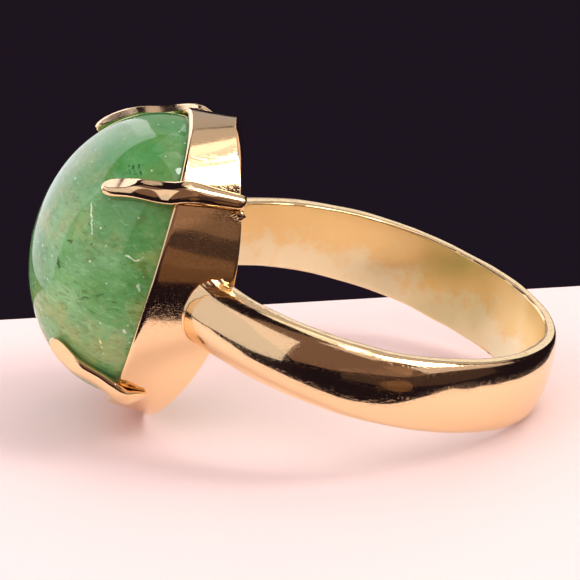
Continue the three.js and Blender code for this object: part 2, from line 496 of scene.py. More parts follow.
def new_material(name: str) -> tuple[bpy.types.Material, Sheet]:
    """An empty material and the sheet to lay its nodes on.

    Args:
        name: the material's name.

    Returns:
        The material and its sheet.
    """
    material = bpy.data.materials.new(name)
    material.use_nodes = True
    return material, Sheet(material.node_tree)


def millimetre_place(sheet: Sheet) -> Socket:
    """Object coordinates in the ring's own frame, in millimetres.

    Args:
        sheet: where the nodes go.

    Returns:
        The coordinates.
    """
    coords = sheet.add("TexCoord").outputs["Object"]
    shift = (-FORM.shift_x, 0.0, -FORM.shift_z)
    scaled = sheet.add("Mapping", {"Vector": coords, "Scale": (1 / MM,) * 3, "Location": shift})
    turn = (0.0, -math.radians(FORM.lean), 0.0)
    return sheet.add("Mapping", {"Vector": scaled.outputs[0], "Rotation": turn}).outputs[0]


class WearMarks(Effect):
    """Fine wear on polished gold: hairline scratches, a soft bloom, grain and brush marks.

    Its inputs are the place, the plain roughness and the strength of each kind of mark. It
    puts out the roughness and the height of the surface.
    """

    NAME = "wear_marks"
    INPUTS = (
        ("Place", "Vector"),
        ("Roughness", "Float"),
        ("Scratch", "Float"),
        ("Bloom", "Float"),
        ("Grain", "Float"),
        ("Brush", "Float"),
    )
    OUTPUTS = (("Roughness", "Float"), ("Height", "Float"))
    HAIRS = (((0.3, 0.2, 0.5), 2.2), ((1.1, -0.5, 1.9), 3.0), ((-0.7, 0.9, -1.0), 2.6))  # turn, pitch
    HAIR_STRETCH = (0.35, 7.0, 7.0)
    BRUSH_STRETCH = (7.0, 3.5, 0.8)
    HAIR_ROUGHNESS = 0.12

    @classmethod
    def lay(cls, sheet: Sheet, given: bpy.types.NodeOutputs) -> dict[str, Socket]:
        """Lays out the wear.

        Args:
            sheet: where the nodes go.
            given: the group's inputs, by name.

        Returns:
            The roughness and the height.
        """
        place = given["Place"]
        hairs = []
        for turn, pitch in cls.HAIRS:
            noise = sheet.noise(sheet.mapped(place, cls.HAIR_STRETCH, turn), pitch, 2.0)
            hairs.append(sheet.remap(noise.outputs[0], 0.60, 0.72, 0.0, 1.0))
        lines = sheet.math("MAXIMUM", sheet.math("MAXIMUM", hairs[0], hairs[1]), hairs[2])
        marked = sheet.math("MULTIPLY", lines, given["Scratch"])
        cloud = sheet.noise(place, 0.7, 4.0, 0.6)
        bloom = sheet.remap(cloud.outputs[0], 0.42, 0.68, 0.0, 1.0)
        rough = sheet.math("MULTIPLY_ADD", bloom, given["Bloom"], given["Roughness"])
        rough = sheet.math("MULTIPLY_ADD", marked, cls.HAIR_ROUGHNESS, rough)
        grain = sheet.noise(place, 9.0, 2.0)
        fine = sheet.math("MULTIPLY", grain.outputs[0], given["Grain"])
        brushed = sheet.noise(sheet.mapped(place, cls.BRUSH_STRETCH), 1.0, 3.0, 0.6)
        fine = sheet.math("MULTIPLY_ADD", brushed.outputs[0], given["Brush"], fine)
        return {"Roughness": rough, "Height": sheet.math("SUBTRACT", fine, marked)}


@dataclass(frozen=True)
class GoldFinish:
    """Polished yellow gold with wear.

    A satin finish shows where the piece's satin attribute is 1, as inside the band, in two
    colours: one on the upper side, and a paler, mottled one painted on the lower side as a reflection of
    the pale board.
    """

    name: str
    colour: Colour = (0.99, 0.74, 0.43)
    roughness: float = 0.05
    scratch: float = 0.5
    bloom: float = 0.03
    grain: float = 0.0
    brush: float = 0.0
    satin: float = 0.0
    satin_grain: float = 1.6
    # colours of the finger hole: upper side, and a paler painted reflection on the lower side
    inside: tuple[Colour, Colour] = ((1.0, 0.76, 0.34), (1.0, 0.92, 0.60))
    depth: float = 0.000003

    def satin_colour(self, sheet: Sheet, place: Socket, mask: Socket) -> Socket:
        """Colour of gold with a satin inside, paler where reflection is painted on its lower side.

        Args:
            sheet: where the nodes go.
            place: coordinates in millimetres.
            mask: 1 where the gold is satin.

        Returns:
            The colour over the whole piece.
        """
        cloud = sheet.noise(place, 0.9, 5.0, 0.65).outputs[0]
        across = sheet.add("SeparateXYZ", {0: place}).outputs["Z"]
        # painted reflection: the finger hole's lower side is paled, in a mottled pattern
        lower = sheet.remap(across, 1.2, -1.7, -1.15, -0.10)
        painted_reflection_share = sheet.remap(sheet.math("MULTIPLY_ADD", cloud, 2.6, lower), 0.3, 1.1, 0.0, 1.0)
        inside = sheet.blend(painted_reflection_share, *(opaque(colour) for colour in self.inside))
        return sheet.blend(mask, opaque(self.colour), inside)

    def material(self) -> bpy.types.Material:
        """The finish as a material, built once.

        Returns:
            The material.
        """
        found = bpy.data.materials.get(self.name)
        if found:
            return found
        material, sheet = new_material(self.name)
        place = millimetre_place(sheet)
        given = {"Place": place, "Roughness": self.roughness, "Scratch": self.scratch}
        given |= {"Bloom": self.bloom, "Grain": self.grain, "Brush": self.brush}
        colour = opaque(self.colour)
        if self.satin > 0.0:
            mask = sheet.add("Attribute", attribute_name="satin").outputs["Fac"]
            colour = self.satin_colour(sheet, place, mask)
            given["Grain"] = sheet.math("MULTIPLY_ADD", mask, self.satin_grain, self.grain)
            given["Roughness"] = sheet.math("MULTIPLY_ADD", mask, self.satin, self.roughness)
        wear = sheet.add("Group", given, node_tree=WearMarks.group()).outputs
        bump = sheet.add("Bump", {"Height": wear["Height"], "Strength": 0.5, "Distance": self.depth})
        look = {"Base Color": colour, "Metallic": 1.0, "Roughness": wear["Roughness"]}
        sheet.surface(look | {"Normal": bump.outputs[0]})
        return material


class Tint(Enum):
    """Colours of what lies in the stone, and of a painted reflection of a claw on it."""

    NEEDLE = (0.015, 0.05, 0.025)
    MOSS = (0.10, 0.15, 0.03)
    FROST = (0.78, 0.88, 0.70)
    # yellow of a painted reflection of the lower near claw
    PAINTED_CLAW_REFLECTION = (0.85, 0.80, 0.35)


@dataclass(frozen=True)
class StoneMark:
    """A thread or fleck in the stone, or a painted reflection on it, from one place to another, in the
    ring's own millimetres.
    """

    start: Place
    end: Place
    width: float
    tint: Tint
    strength: float = 0.8


STONE_MARKS = (
    StoneMark((-12.5, -3.3, 5.3), (-12.1, -4.0, 4.9), 0.06, Tint.NEEDLE),
    StoneMark((-12.3, -3.3, 5.5), (-12.0, -3.9, 5.1), 0.05, Tint.NEEDLE),
    StoneMark((-12.7, -3.3, 5.2), (-12.4, -3.8, 4.8), 0.04, Tint.NEEDLE),
    StoneMark((-14.4, -3.9, 1.0), (-13.4, -4.8, 1.5), 0.05, Tint.NEEDLE),
    StoneMark((-14.6, -3.6, 0.0), (-14.4, -3.9, -0.4), 0.06, Tint.NEEDLE),
    StoneMark((-13.6, -4.6, -1.7), (-12.9, -5.2, -1.0), 0.05, Tint.NEEDLE, 0.5),
    StoneMark((-12.9, -5.2, -1.0), (-12.1, -5.6, -0.4), 0.05, Tint.NEEDLE, 0.5),
    StoneMark((-11.5, -5.2, 3.6), (-11.7, -5.1, 3.2), 0.22, Tint.MOSS, 0.5),
    StoneMark((-10.9, -5.9, 1.6), (-10.6, -5.9, 1.1), 0.16, Tint.MOSS, 0.6),
    StoneMark((-11.3, -2.4, 6.1), (-10.9, -2.1, 6.3), 0.12, Tint.MOSS, 0.4),
    StoneMark((-13.95, -3.8, 3.2), (-13.75, -4.2, 2.7), 0.035, Tint.FROST),
    StoneMark((-13.75, -4.2, 2.7), (-13.45, -4.7, 2.0), 0.035, Tint.FROST),
    StoneMark((-11.8, -5.6, 1.75), (-11.4, -5.8, 1.65), 0.035, Tint.FROST),
    StoneMark((-11.4, -5.8, 1.65), (-11.0, -5.8, 1.9), 0.035, Tint.FROST),
    StoneMark((-13.2, -4.2, 3.8), (-13.17, -4.5, 3.35), 0.03, Tint.FROST, 0.6),
    StoneMark((-10.8, -6.0, 0.6), (-10.7, -6.0, 0.35), 0.07, Tint.FROST, 0.6),
    StoneMark((-10.8, -5.9, -1.8), (-10.7, -5.9, -2.0), 0.06, Tint.FROST, 0.7),
    # painted reflection of the lower near claw: a yellow streak on the dome beside it
    StoneMark((-11.8, -5.5, -2.7), (-11.5, -5.4, -3.1), 0.05, Tint.PAINTED_CLAW_REFLECTION, 0.8),
)


class Thread(Effect):
    """Mask of a straight thread between two places."""

    NAME = "thread"
    INPUTS = (("Place", "Vector"), ("Start", "Vector"), ("End", "Vector"), ("Width", "Float"))
    OUTPUTS = (("Mask", "Float"),)

    @classmethod
    def lay(cls, sheet: Sheet, given: bpy.types.NodeOutputs) -> dict[str, Socket]:
        """Lays out the mask.

        Args:
            sheet: where the nodes go.
            given: the group's inputs, by name.

        Returns:
            The mask, which is 1 on the thread.
        """
        run = sheet.vector("SUBTRACT", given["End"], given["Start"])
        off = sheet.vector("SUBTRACT", given["Place"], given["Start"])
        along = sheet.vector("DOT_PRODUCT", off, run)
        share = sheet.math("DIVIDE", along, sheet.vector("DOT_PRODUCT", run, run), clamp=True)
        gap = sheet.vector("DISTANCE", off, sheet.vector("SCALE", run, share))
        far = sheet.math("DIVIDE", gap, given["Width"])
        return {"Mask": sheet.remap(far, 0.5, 1.5, 1.0, 0.0)}


@dataclass(frozen=True)
class Flecks:
    """Small flecks scattered in the stone, in some of the cells of a pattern."""

    pitch: float  # cells to the millimetre
    size: float  # a fleck's radius as a share of a cell
    chosen: tuple[float, float]  # range of a cell's own number that gives a fleck
    tint: Tint
    strength: float = 0.85

    def scatter(self, sheet: Sheet, place: Socket, body: Socket) -> Socket:
        """Scatters the flecks.

        Args:
            sheet: where the nodes go.
            place: coordinates in millimetres.
            body: colour under the flecks.

        Returns:
            The colour with the flecks on it.
        """
        cells = sheet.add("TexVoronoi", {"Vector": place, "Scale": self.pitch}).outputs
        spot = sheet.remap(cells["Distance"], self.size * 0.5, self.size, 1.0, 0.0)
        number = sheet.add("SeparateColor", {"Color": cells["Color"]}).outputs[0]
        above = sheet.math("GREATER_THAN", number, self.chosen[0])
        below = sheet.math("LESS_THAN", number, self.chosen[1])
        share = sheet.math("MULTIPLY", spot, sheet.math("MULTIPLY", above, below))
        share = sheet.math("MULTIPLY", share, self.strength)
        return sheet.blend(share, body, opaque(self.tint.value))


@dataclass(frozen=True)
class StoneFinish:
    """Translucent green stone with cloudy veils, flecks, threads and needles."""

    name: str = "green_cabochon"
    deep: Colour = (0.095, 0.285, 0.085)
    pale: Colour = (0.22, 0.46, 0.19)
    milk: Colour = (0.45, 0.63, 0.38)
    olive: Colour = (0.30, 0.37, 0.12)
    # painted shade colour for the stone's upper side
    painted_top_shade: Colour = (0.04, 0.20, 0.05)
    roughness: float = 0.06
    refraction: float = 1.57
    glow: float = 0.25
    glow_depth: float = 0.0006
    waver: float = 0.35
    flecks: tuple[Flecks, ...] = (
        Flecks(1.9, 0.13, (0.78, 1.1), Tint.FROST),
        Flecks(3.1, 0.16, (0.88, 1.1), Tint.FROST),
        Flecks(1.4, 0.10, (-0.1, 0.15), Tint.NEEDLE),
    )

    def body(self, sheet: Sheet, place: Socket) -> Socket:
        """Colour of the stone's cloudy body, with painted shade that darkens its upper side.

        Args:
            sheet: where the nodes go.
            place: coordinates in millimetres.

        Returns:
            The colour.
        """
        cloud = sheet.noise(place, 0.25, 4.0, 0.55, 0.3).outputs[0]
        body = sheet.blend(sheet.remap(cloud, 0.38, 0.66, 0.0, 1.0), opaque(self.deep), opaque(self.pale))
        warm = sheet.noise(place, 0.42, 5.0, 0.65).outputs[0]
        body = sheet.blend(sheet.remap(warm, 0.44, 0.64, 0.0, 0.8), body, opaque(self.olive))
        stretched = sheet.mapped(place, (0.9, 0.9, 2.2), (0.4, 0.3, 0.2))
        veil = sheet.noise(stretched, 2.0, 8.0, 0.75, 0.8).outputs[0]
        body = sheet.blend(sheet.remap(veil, 0.52, 0.72, 0.0, 0.6), body, opaque(self.milk))
        body = sheet.blend(sheet.remap(veil, 0.34, 0.48, 0.75, 0.0), body, opaque(Tint.MOSS.value))
        # painted shade: the stone's upper side is blended towards a darker green by height
        upper = sheet.add("SeparateXYZ", {0: place}).outputs["Z"]
        return sheet.blend(sheet.remap(upper, 1.0, 6.5, 0.0, 0.75), body, opaque(self.painted_top_shade))

    def threads(self, sheet: Sheet, place: Socket, body: Socket) -> Socket:
        """Draws the inclusions and the painted reflection of a claw, each a little wavering.

        Args:
            sheet: where the nodes go.
            place: coordinates in millimetres.
            body: colour under the inclusions.

        Returns:
            The colour with the inclusions on it.
        """
        noise = sheet.noise(place, 2.5, 3.0).outputs["Color"]
        nudge = sheet.vector("SCALE", sheet.vector("SUBTRACT", noise, (0.5, 0.5, 0.5)), self.waver)
        bent = sheet.vector("ADD", place, nudge)
        for line in STONE_MARKS:
            given = {"Place": bent, "Start": line.start, "End": line.end, "Width": line.width}
            mask = sheet.add("Group", given, node_tree=Thread.group()).outputs["Mask"]
            share = sheet.math("MULTIPLY", mask, line.strength)
            body = sheet.blend(share, body, opaque(line.tint.value))
        return body

    def material(self) -> bpy.types.Material:
        """The stone's material.

        Returns:
            The material.
        """
        material, sheet = new_material(self.name)
        place = millimetre_place(sheet)
        body = self.body(sheet, place)
        for flecks in self.flecks:
            body = flecks.scatter(sheet, place, body)
        look = {"Base Color": self.threads(sheet, place, body), "Roughness": self.roughness}
        look |= {"IOR": self.refraction, "Subsurface Weight": self.glow}
        look |= {"Subsurface Radius": (0.5, 1.0, 0.6), "Subsurface Scale": self.glow_depth}
        sheet.surface(look)
        return material


@dataclass(frozen=True)
class BoardFinish:
    """Matt pale board under the ring."""

    name: str = "pale_board"
    colour: Colour = (0.85, 0.665, 0.655)

    def material(self) -> bpy.types.Material:
        """The board's material.

        Returns:
            The material.
        """
        material, sheet = new_material(self.name)
        sheet.surface({"Base Color": opaque(self.colour), "Roughness": 0.85, "Specular IOR Level": 0.2})
        return material


BAND_GOLD = GoldFinish("band_gold", scratch=0.8, satin=0.30, brush=0.3, grain=0.15)
COLLET_GOLD = GoldFinish("collet_gold", roughness=0.07, brush=0.3)
WIRE_GOLD = GoldFinish("wire_gold", roughness=0.08, scratch=0.15)
SOLDER_GOLD = GoldFinish("solder_gold", roughness=0.12, bloom=0.08, grain=0.5)


def finish(
    piece: bpy.types.Object,
    law: Law,
    material: bpy.types.Material,
    node: str,
    crease: float = 40.0,
) -> None:
    """Presses a blank to shape, dresses it, gives it its place in the frame and reports it.

    Args:
        piece: the blank.
        law: gives the ring's own millimetres for the blank's corners.
        material: what the piece is made of.
        node: the CAD node that it stands for.
        crease: angle in degrees over which an edge is kept sharp.
    """
    Blank.press(piece, law)
    Blank.close(piece, crease)
    piece.data.materials.clear()
    piece.data.materials.append(material)
    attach(piece, BODY)
    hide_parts(node)
    LOG.info("%s: %d faces", piece.name, len(piece.data.polygons))


@dataclass
class Shank:
    """The band round the finger: a domed section with flat sides, wider and thinner at the back.

    A corner of the section has a level, which is 0 at the finger hole, 1 at the top of the
    flat side and 2 at the crest, and a side, from -1 to 1 across the band.
    """

    width_crown: float = 3.15
    width_back: float = 3.9
    thick_crown: float = 1.85
    thick_back: float = 0.85
    thinning: float = 0.8  # power of the change from the crown's thickness to the back's
    land: float = 0.45
    bore_oval: float = 0.17
    bore_flats: float = 0.12
    bore_level: float = 0.1  # level under which a corner belongs to the finger hole
    satin_level: float = 0.12  # level at which the satin of the finger hole has ended
    steps: int = 560
    sweep: float = math.tau * 0.8  # turn of the blank, before it is pressed to shape
    dome_corners: int = 44
    bore_corners: int = 14
    end_search: tuple[float, float] = (0.15, 1.5)  # angles between which the band ends
    halvings: int = 36
    wave: Swell = Swell(3.4, 0.012, 5)
    ripple: Swell = Swell(1.1, 0.0016, 6)
    burrs: int = 900
    burr_seed: int = 11
    burr_height: float = 0.07
    burr_corner: tuple[float, float] = (1.04, 0.10)  # level of the burrs, and their spread
    burr_fade: tuple[float, float] = (0.78, 1.45)  # angles over which they fade out

    def bore(self, angle: np.ndarray) -> np.ndarray:
        """Radius of the finger hole at angles from the stone."""
        return FORM.bore / 2.0 + self.bore_oval * np.cos(2 * angle) + self.bore_flats * np.cos(4 * angle)

    def point(
        self, angle: np.ndarray, level: np.ndarray, side: np.ndarray, grow: Value = 0.0
    ) -> np.ndarray:
        """Points of the band in the ring's own frame.

        Args:
            angle: angle round the finger from the stone.
            level: level in the section.
            side: side in the section.
            grow: how far the point stands off the surface.

        Returns:
            One row for each point.
        """
        crown = ((1.0 + np.cos(angle)) / 2.0) ** self.thinning
        thick = mix(self.thick_back, self.thick_crown, crown) + grow
        flat = self.land * np.clip(level, 0.0, 1.0)
        dome = (thick - self.land) * np.clip(level - 1.0, 0.0, 1.0)
        radius = self.bore(angle) + flat + dome - np.where(level < self.bore_level, grow, 0.0)
        toward = radius * np.cos(angle)
        reach = FORM.bore / 2.0 + self.thick_crown
        width = mix(self.width_back, self.width_crown, (toward + reach) / (2.0 * reach))
        return np.stack([-toward, radius * np.sin(angle), side * (width / 2.0 + grow)], axis=1)

    def end_angle(self, level: np.ndarray, side: np.ndarray) -> np.ndarray:
        """Angle at which each corner of the section meets the collet's wall, found by halving.

        Args:
            level: level in the section.
            side: side in the section.

        Returns:
            An angle from the stone for each corner.
        """
        low, high = (np.full(len(level), bound) for bound in self.end_search)
        for _ in range(self.halvings):
            middle = (low + high) / 2.0
            at = self.point(middle, level, side)
            turn = np.arctan2(at[:, 1], at[:, 2])
            inside = np.hypot(at[:, 1], at[:, 2]) < FORM.wall_radius(turn, -at[:, 0]) + FORM.gap
            low, high = np.where(inside, middle, low), np.where(inside, high, middle)
        return high

    def section(self) -> list[Corner]:
        """Level and side of the section's corners, closed, from the middle of the finger hole.

        Returns:
            The corners in order, the first one also last.
        """
        edge = [(0.0, 0.94), (0.02, 0.955), (0.07, 0.972), (0.15, 0.988), (0.26, 1.0)]
        half = [(0.0, side) for side in np.linspace(0.0, 0.92, self.bore_corners // 2)] + edge
        half += [(level, 1.0) for level in (0.45, 0.65, 0.82, 0.92)]
        for turn in np.linspace(0.0, QUARTER, self.dome_corners // 2 + 1):
            half.append((1.0 + math.sin(turn), math.cos(turn)))
        back = [(level, -side) for level, side in reversed(half)]
        return half + back[1:]

    def nicks(self, angle: np.ndarray, level: np.ndarray, side: np.ndarray) -> np.ndarray:
        """Small burrs left by the file along the corner between the flat side and the dome.

        Args:
            angle: angle round the finger from the stone.
            level: level in the section.
            side: side in the section.

        Returns:
            A height for each point.
        """
        marks = np.random.default_rng(self.burr_seed).uniform(0.0, 1.0, self.burrs) ** 2
        at = np.interp(angle, np.linspace(0.0, math.tau, self.burrs), marks)
        middle, spread = self.burr_corner
        corner = np.exp(-(((level - middle) / spread) ** 2)) * np.where(side > 0, 1.0, 0.6)
        return corner * at * mix(self.burr_height, 0.0, ease(*self.burr_fade, math.tau - angle))

    def law(self, stock: np.ndarray) -> np.ndarray:
        """Shape of the band, which swells twice as much in the finger hole.

        Args:
            stock: the blank's corners.

        Returns:
            Their places in the ring's own frame.
        """
        turn, radius, side = polar(stock)
        share = np.clip(np.mod(-turn, math.tau) / self.sweep, 0.0, 1.0)
        level = radius - HUB
        end = self.end_angle(level, side)
        angle = mix(end, math.tau - end, share)
        plain = self.point(angle, level, side)
        strength = np.where(level > self.bore_level, 1.0, 2.0)
        grow = self.nicks(angle, level, side) + strength * self.wave.at(plain) + self.ripple.at(plain)
        return self.point(angle, level, side, grow)

    def build(self) -> None:
        """Makes the band, satin in its finger hole."""
        section = [(HUB + level, side) for level, side in self.section()]
        piece = Blank.turned("band", section, self.steps, self.sweep)
        level = polar(Blank.corners(piece))[1] - HUB
        satin = piece.data.attributes.new("satin", "FLOAT", "POINT")
        satin.data.foreach_set("value", (1.0 - ease(0.0, self.satin_level, level)).astype(np.float32))
        finish(piece, self.law, BAND_GOLD.material(), "shank")


@dataclass
class Collet:
    """The deep oval wall that holds the stone, and the ledge inside that the stone sits on."""

    steps: int = 320
    wall_corners: int = 30
    wave: Swell = Swell(4.2, 0.01, 21)
    seat_height: float = 0.5
    seat_width: float = 0.6
    seat_bevel: float = 0.12

    def wall_section(self) -> list[Corner]:
        """Inset and share of height of the wall's corners, closed, from the foot's outer edge.

        Returns:
            The corners in order, the first one also last.
        """
        lip, wall = FORM.lip, FORM.wall
        outer = [(0.03, 0.0), (0.006, 0.006), (0.0, 0.02)]
        outer += [(0.0, share) for share in np.linspace(0.05, 0.94, self.wall_corners)]
        top = [(0.01, 0.962), (0.035, 0.98), (0.08, 0.993), (0.15, 1.0)]
        top += [(lip - 0.1, 1.0), (lip - 0.03, 0.992), (lip, 0.97)]
        inner = [(lip, share) for share in (0.85, 0.72, 0.6)]
        inner += [(wall, share) for share in (0.52, 0.35, 0.18, 0.02)] + [(wall - 0.03, 0.0)]
        return outer + top + inner + [outer[0]]

    def seat_section(self) -> list[Corner]:
        """Inset and height of the ledge's corners, closed, from its lower outer edge.

        Returns:
            The corners in order, the first one also last.
        """
        top = FORM.rim_height - FORM.stone_recess - FORM.gap
        outer = FORM.wall + FORM.gap
        inner = outer + self.seat_width
        corners = [(outer, top - self.seat_height), (outer, top), (inner - self.seat_bevel, top)]
        corners += [(inner, top - self.seat_bevel), (inner, top - self.seat_height)]
        return corners + [corners[0]]

    def wall_law(self, stock: np.ndarray) -> np.ndarray:
        """Shape of the wall.

        Args:
            stock: the blank's corners.

        Returns:
            Their places in the ring's own frame.
        """
        angle, radius, share = polar(stock)
        height = mix(FORM.base_height(angle), FORM.rim_height, share)
        outer = FORM.wall_radius(angle, height)
        swell = self.wave.at(FORM.around_stone(angle, outer, height))
        return FORM.around_stone(angle, outer - (HUB - radius) + swell, height)

    def seat_law(self, stock: np.ndarray) -> np.ndarray:
        """Shape of the ledge."""
        angle, radius, height = polar(stock)
        return FORM.around_stone(angle, FORM.wall_radius(angle, height) - (HUB - radius), height)

    def build(self) -> None:
        """Makes the wall and the ledge."""
        for name, section, steps, law, node in (
            ("collet_wall", self.wall_section(), self.steps, self.wall_law, "collet"),
            ("seat_ledge", self.seat_section(), self.steps // 2, self.seat_law, "stone_seat"),
        ):
            piece = Blank.turned(name, [(HUB - inset, level) for inset, level in section], steps)
            finish(piece, law, COLLET_GOLD.material(), node)


@dataclass
class Cabochon:
    """The oval stone: a flat back, a steep girdle and a high dome."""

    steps: int = 288
    dome_corners: int = 72
    mean_radius: float = 7.0
    wave: Swell = Swell(5.0, 0.006, 31)

    def section(self) -> list[Corner]:
        """Share of radius and height of the corners, from the middle of the back to the apex.

        Returns:
            The corners in order.
        """
        back, girdle = FORM.rim_height - FORM.stone_recess, FORM.rim_height
        corners = [(share, back) for share in (0.0, 0.3, 0.6, 0.9)]
        corners += [(0.955, back + 0.015), (0.985, back + 0.06), (1.0, back + 0.16)]
        corners += [(1.0, girdle - 0.25), (1.0, girdle)]
        for turn in np.linspace(0.0, QUARTER, self.dome_corners + 1)[1:-1]:
            corners.append((math.cos(turn), girdle + math.sin(turn) * FORM.dome_height))
        return corners + [(0.0, girdle + FORM.dome_height)]

    def law(self, stock: np.ndarray) -> np.ndarray:
        """Shape of the stone, which swells only over the rim.

        Args:
            stock: the blank's corners.

        Returns:
            Their places in the ring's own frame.
        """
        angle, share, height = polar(stock)
        edge = FORM.wall_radius(angle, np.minimum(height, FORM.rim_height)) - FORM.lip - FORM.gap
        plain = FORM.around_stone(angle, share * edge, height)
        swell = self.wave.at(plain) / self.mean_radius * np.where(height > FORM.rim_height, 1.0, 0.0)
        return FORM.around_stone(angle, share * edge * (1.0 + swell), height)

    def build(self) -> None:
        """Makes the stone."""
        piece = Blank.turned("stone", self.section(), self.steps)
        finish(piece, self.law, StoneFinish().material(), "cabochon", crease=50.0)


def smooth_curve(
    knots: Sequence[np.ndarray], corners: Sequence[np.ndarray], part: np.ndarray
) -> np.ndarray:
    """Places on a smooth curve through four corners, between the middle two.

    Args:
        knots: the curve's own measure at each of the four corners.
        corners: the four corners, with a row for each place asked for.
        part: share of the way from the second corner to the third.

    Returns:
        One row for each part.
    """
    t0, t1, t2, t3 = knots
    at = mix(t1, t2, part[:, None])
    ends = ((t0, t1), (t1, t2), (t2, t3))
    a1, a2, a3 = (
        mix(start, stop, (at - low) / (high - low))
        for start, stop, (low, high) in zip(corners, corners[1:], ends)
    )
    b1 = mix(a1, a2, (at - t0) / (t2 - t0))
    b2 = mix(a2, a3, (at - t1) / (t3 - t1))
    return mix(b1, b2, (at - t1) / (t2 - t1))


@dataclass
class Claw:
    """One half-round wire up the collet's wall and over the stone, set by hand.

    A share is that of the wire's length, from its foot to its tip.
    """

    name: str
    node: str
    end: End
    side: Side
    angle: float  # degrees from the finger axis to the tip
    reach: float  # height of the tip over the rim
    foot: float = 0.0  # share of the wall's height at which the wire starts
    width: float = 0.98
    depth: float = 0.72
    stand_off: float = 0.42  # share of the depth from the wall or the stone to the centre line
    tip: float = 0.90  # share at which the tip starts to round off
    splay: float = 6.0  # degrees by which the foot lies nearer the finger axis
    worn: float = 0.5
    worn_tilt: float = 25.0
    worn_from: tuple[float, float] = (0.74, 0.86)
    ridge: float = 1.6  # power of the section's outline, 2 for a round one
    elbow: float = -0.4  # height over the rim at which the wire leaves the wall
    bulge: float = 0.0
    bulge_at: tuple[float, float] = (0.5, 0.25)  # share of the bulge, and its spread
    taper: float = 0.34  # share by which a thinned foot has its full depth
    dome_stops: tuple[float, float, float] = (0.22, 0.6, 1.0)
    wall_stops: int = 3
    steps: int = 28
    side_corners: int = 40
    tip_corners: int = 16
    clear_wall: float = 0.02
    clear_dome: float = 0.01
    wave: Swell = Swell(2.2, 0.008, 61)

    @property
    def off(self) -> float:
        """Distance from the wall or the stone to the centre line."""
        return self.depth * self.stand_off

    def facing(self, degrees: Value) -> np.ndarray:
        """Angle round the stone's axis, in the claw's own quarter."""
        turn = np.radians(degrees)
        return np.arctan2(self.side.value * np.sin(turn), self.end.value * np.cos(turn))

    def turn(self, share: np.ndarray) -> np.ndarray:
        """Angle round the stone's axis at a share."""
        return self.facing(self.angle - self.splay * np.clip(1.0 - share / 0.5, 0.0, 1.0))

    def route(self) -> np.ndarray:
        """Corners of the centre line: distance from the stone's axis, and height.

        Returns:
            One row for each corner, from foot to tip.
        """
        start = FORM.base_height(self.turn(np.zeros(1)))[0] - 0.12
        foot = mix(start, FORM.rim_height, self.foot)
        spans = self.wall_stops + len(self.dome_stops) - 1
        line = []
        for i in range(self.wall_stops):
            height = np.array([mix(foot, FORM.rim_height + self.elbow, i / (self.wall_stops - 1))])
            turn = self.turn(np.array([i / spans]))
            line.append((FORM.wall_radius(turn, height)[0] + self.off, height[0]))
        turn = self.turn(np.ones(1))
        edge = FORM.dome_radius(turn, np.array([FORM.rim_height]))[0]
        for stop in self.dome_stops:
            rise = self.reach * stop
            height = FORM.rim_height + rise
            radius = FORM.dome_radius(turn, np.array([height]))[0]
            slope = math.atan2(radius / edge**2, rise / FORM.dome_height**2)
            line.append((radius + self.off * math.sin(slope), height + self.off * math.cos(slope)))
        return np.array(line)

    def centre(self, share: np.ndarray) -> tuple[np.ndarray, np.ndarray]:
        """Places on the centre line and its direction there.

        Args:
            share: shares of the length.

        Returns:
            Distance from the stone's axis and height of each place, and the direction's two parts.
        """
        line = self.route()
        line = np.vstack([2 * line[0] - line[1], line, 2 * line[-1] - line[-2]])
        knots = np.concatenate([[0.0], np.cumsum(np.hypot(*np.diff(line, axis=0).T) ** 0.5)])
        spans = len(line) - 3
        spot = np.clip(share, 0.0, 1.0) * spans
        start = np.minimum(spot.astype(int), spans - 1)
        near = [start + i for i in range(4)]
        given = [knots[i][:, None] for i in near], [line[i] for i in near]
        part, step = spot - start, 0.01
        way = smooth_curve(*given, part + step) - smooth_curve(*given, part - step)
        return smooth_curve(*given, part), way / np.linalg.norm(way, axis=1)[:, None]

    def section(self) -> list[Corner]:
        """Girth and share of the corners along the wire: a blunt foot and a rounded tip.

        Returns:
            The corners in order, from foot to tip.
        """
        corners = [(0.0, 0.0), (0.45, 0.0), (0.7, 0.006), (0.79, 0.02)]
        shares = np.linspace(0.04, self.tip, self.side_corners)
        corners += zip(mix(0.83, 1.0, ease(0.0, 0.36, shares)), shares)
        for turn in np.linspace(0.0, QUARTER, self.tip_corners + 1)[1:-1]:
            corners.append((math.cos(turn) ** 0.8, mix(self.tip, 1.0, math.sin(turn))))
        return corners + [(0.0, 1.0)]

    def profile(self, stock: np.ndarray) -> tuple[np.ndarray, np.ndarray]:
        """Shape of the wire's section, with filed flanks and a worn crest.

        Args:
            stock: the blank's corners.

        Returns:
            How far out from the centre line each corner lies, and how far aside.
        """
        share = stock[:, 2]
        girth = np.maximum(np.hypot(stock[:, 0], stock[:, 1]), TINY)
        spread = (np.abs(stock[:, :2] / girth[:, None]) ** self.ridge).sum(axis=1)
        flank = np.maximum(spread, TINY) ** (-1.0 / self.ridge)
        out = stock[:, 0] * flank * self.depth / 2.0
        aside = stock[:, 1] * flank * self.width / 2.0
        middle, extent = self.bulge_at
        aside = aside * (1.0 + self.bulge * np.exp(-(((share - middle) / extent) ** 2)))
        thin = mix(1.0 - 0.75 * min(self.foot * 2.0, 1.0), 1.0, ease(0.0, self.taper, share))
        out = np.where(out > 0, out * thin, out) - self.off * (1.0 - thin)
        cap = self.depth / 2.0 * (1.0 - self.worn * ease(*self.worn_from, share))
        lean = math.radians(self.worn_tilt)
        over = np.maximum(out * math.cos(lean) + aside * math.sin(lean) - cap, 0.0)
        return out - over * math.cos(lean), aside - over * math.sin(lean)

